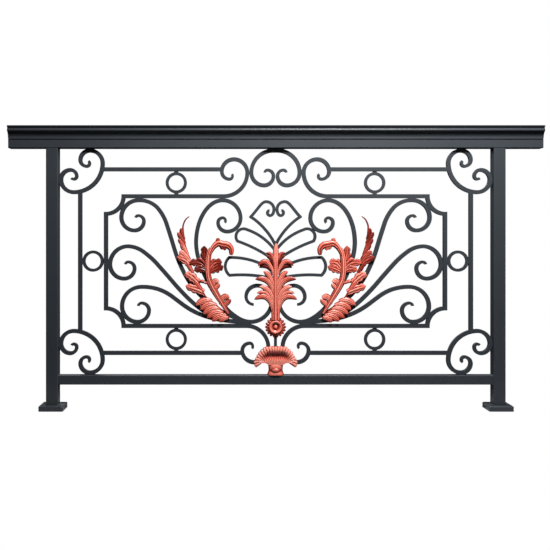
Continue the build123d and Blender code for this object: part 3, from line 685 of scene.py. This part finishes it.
def footRings(shape, steps=40):
    bossUp, bossWide, bossTall, bossSwell = shape["boss"]
    grooveAt, grooveWide = shape["bossGroove"]
    flat, edge, groove = shape["footShade"]
    rings = []
    for i in range(steps + 1):
        z, half, depth = curvePoint(shape["foot"], i / steps)
        ring = []
        for j in range(steps + 1):
            angle = math.pi * j / steps
            x = -half * math.cos(angle)
            far = math.hypot(x / bossWide, (z - bossUp) / bossTall)
            height = depth * math.sin(angle) ** 0.6 + bossSwell * math.exp(-(far**4))
            tone = flat + edge * math.cos(angle) ** 6
            tone += groove * math.exp(-(((far - grooveAt) / grooveWide) ** 2))
            ring.append((x, z, height, min(tone, 1)))
        rings.append(ring)
    return rings


def makeShell(shape):
    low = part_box("shell")[0]
    castPiece("shellCast", [fluteRings(shape), footRings(shape)], (midX, low.z), "shell")


makePalmette(palmetteShape)
makeSideLeaves("left", 1)
makeSideLeaves("right", -1)
makeRosette(rosetteShape)
makeShell(shellShape)
print("castings ready")


# floor, light and camera
studio = {
    "floorSize": (2.1, 0.4),
    "floorGap": 0.0005,
    "floorColour": (0.35, 0.35, 0.35),
    "floorFleck": 0.97,
    "floorRoughness": 0.8,
    "ambient": (0.55, 0.60, 0.66),
    "ambientStrength": 0.03,
    "key": {"at": (1.2, -1.0, 2.2), "to": (0.9, 0, 0.6), "size": (0.45, 0.45), "power": 125},
    "front": {"at": (1.3, -3.2, 1.0), "to": (1.1, 0, 0.8), "size": (3.2, 1.4), "power": 4},
    "back": {"at": (0.2, 2.2, 2.6), "to": (0.8, 0, 0.5), "size": (2.0, 1.0), "power": 70},
}

lens = {
    "at": (0.6246, -2.85, 0.6008),
    "focal": 52.85,
    "sensor": 36,
    "shift": (0.0818, -0.0655),
}


def whiteForCamera(tree, other, place):
    path = addNode(tree, "ShaderNodeLightPath", (place[0] - 250, place[1] + 250))
    mix = addNode(tree, "ShaderNodeMixShader", place)
    tree.links.new(path.outputs["Is Camera Ray"], mix.inputs["Fac"])
    tree.links.new(other, mix.inputs[1])
    return mix


def makeWorld(look):
    world = bpy.data.worlds.new("whiteStudio")
    bpy.context.scene.world = world
    world.use_nodes = True
    tree = world.node_tree
    soft = tree.nodes["Background"]
    soft.inputs["Color"].default_value = (*look["ambient"], 1)
    soft.inputs["Strength"].default_value = look["ambientStrength"]
    white = addNode(tree, "ShaderNodeBackground", (0, -200))
    white.inputs["Color"].default_value = (1, 1, 1, 1)
    mix = whiteForCamera(tree, soft.outputs["Background"], (250, 0))
    tree.links.new(white.outputs["Background"], mix.inputs[2])
    tree.links.new(mix.outputs["Shader"], tree.nodes["World Output"].inputs["Surface"])


def makeFloor(look):
    bpy.ops.mesh.primitive_plane_add(size=1, location=(midX, 0, -look["floorGap"]))
    floor = bpy.context.object
    floor.name = "floor"
    floor.scale = (*look["floorSize"], 1)
    material, tree, shader = newMaterial("paleFloor")
    noise = addNode(tree, "ShaderNodeTexNoise", (-500, 0), Scale=40.0)
    fleck = tuple(c * look["floorFleck"] for c in look["floorColour"])
    tone = mixColour(tree, (-250, 0), look["floorColour"], fleck)
    shader.inputs["Roughness"].default_value = look["floorRoughness"]
    tree.links.new(noise.outputs["Fac"], tone.inputs["Factor"])
    tree.links.new(tone.outputs["Result"], shader.inputs["Base Color"])
    glow = addNode(tree, "ShaderNodeEmission", (0, -300))
    mix = whiteForCamera(tree, shader.outputs["BSDF"], (300, 0))
    tree.links.new(glow.outputs["Emission"], mix.inputs[2])
    tree.links.new(mix.outputs["Shader"], tree.nodes["Material Output"].inputs["Surface"])
    floor.data.materials.append(material)


def makeLight(name, look):
    data = bpy.data.lights.new(name, "AREA")
    data.shape = "RECTANGLE"
    data.size, data.size_y = look["size"]
    data.energy = look["power"]
    light = bpy.data.objects.new(name, data)
    bpy.context.collection.objects.link(light)
    light.location = look["at"]
    aim = Vector(look["to"]) - Vector(look["at"])
    light.rotation_euler = aim.to_track_quat("-Z", "Y").to_euler()


def makeCamera(look):
    data = bpy.data.cameras.new("camera")
    camera = bpy.data.objects.new("camera", data)
    bpy.context.collection.objects.link(camera)
    camera.location = look["at"]
    camera.rotation_euler = (math.radians(90), 0, 0)
    data.lens = look["focal"]
    data.sensor_width = look["sensor"]
    data.shift_x, data.shift_y = look["shift"]
    bpy.context.scene.camera = camera


makeWorld(studio)
makeFloor(studio)
for name in ("key", "front", "back"):
    makeLight(name + "Light", studio[name])
makeCamera(lens)
bpy.context.scene.view_settings.view_transform = "Standard"
print("studio ready")
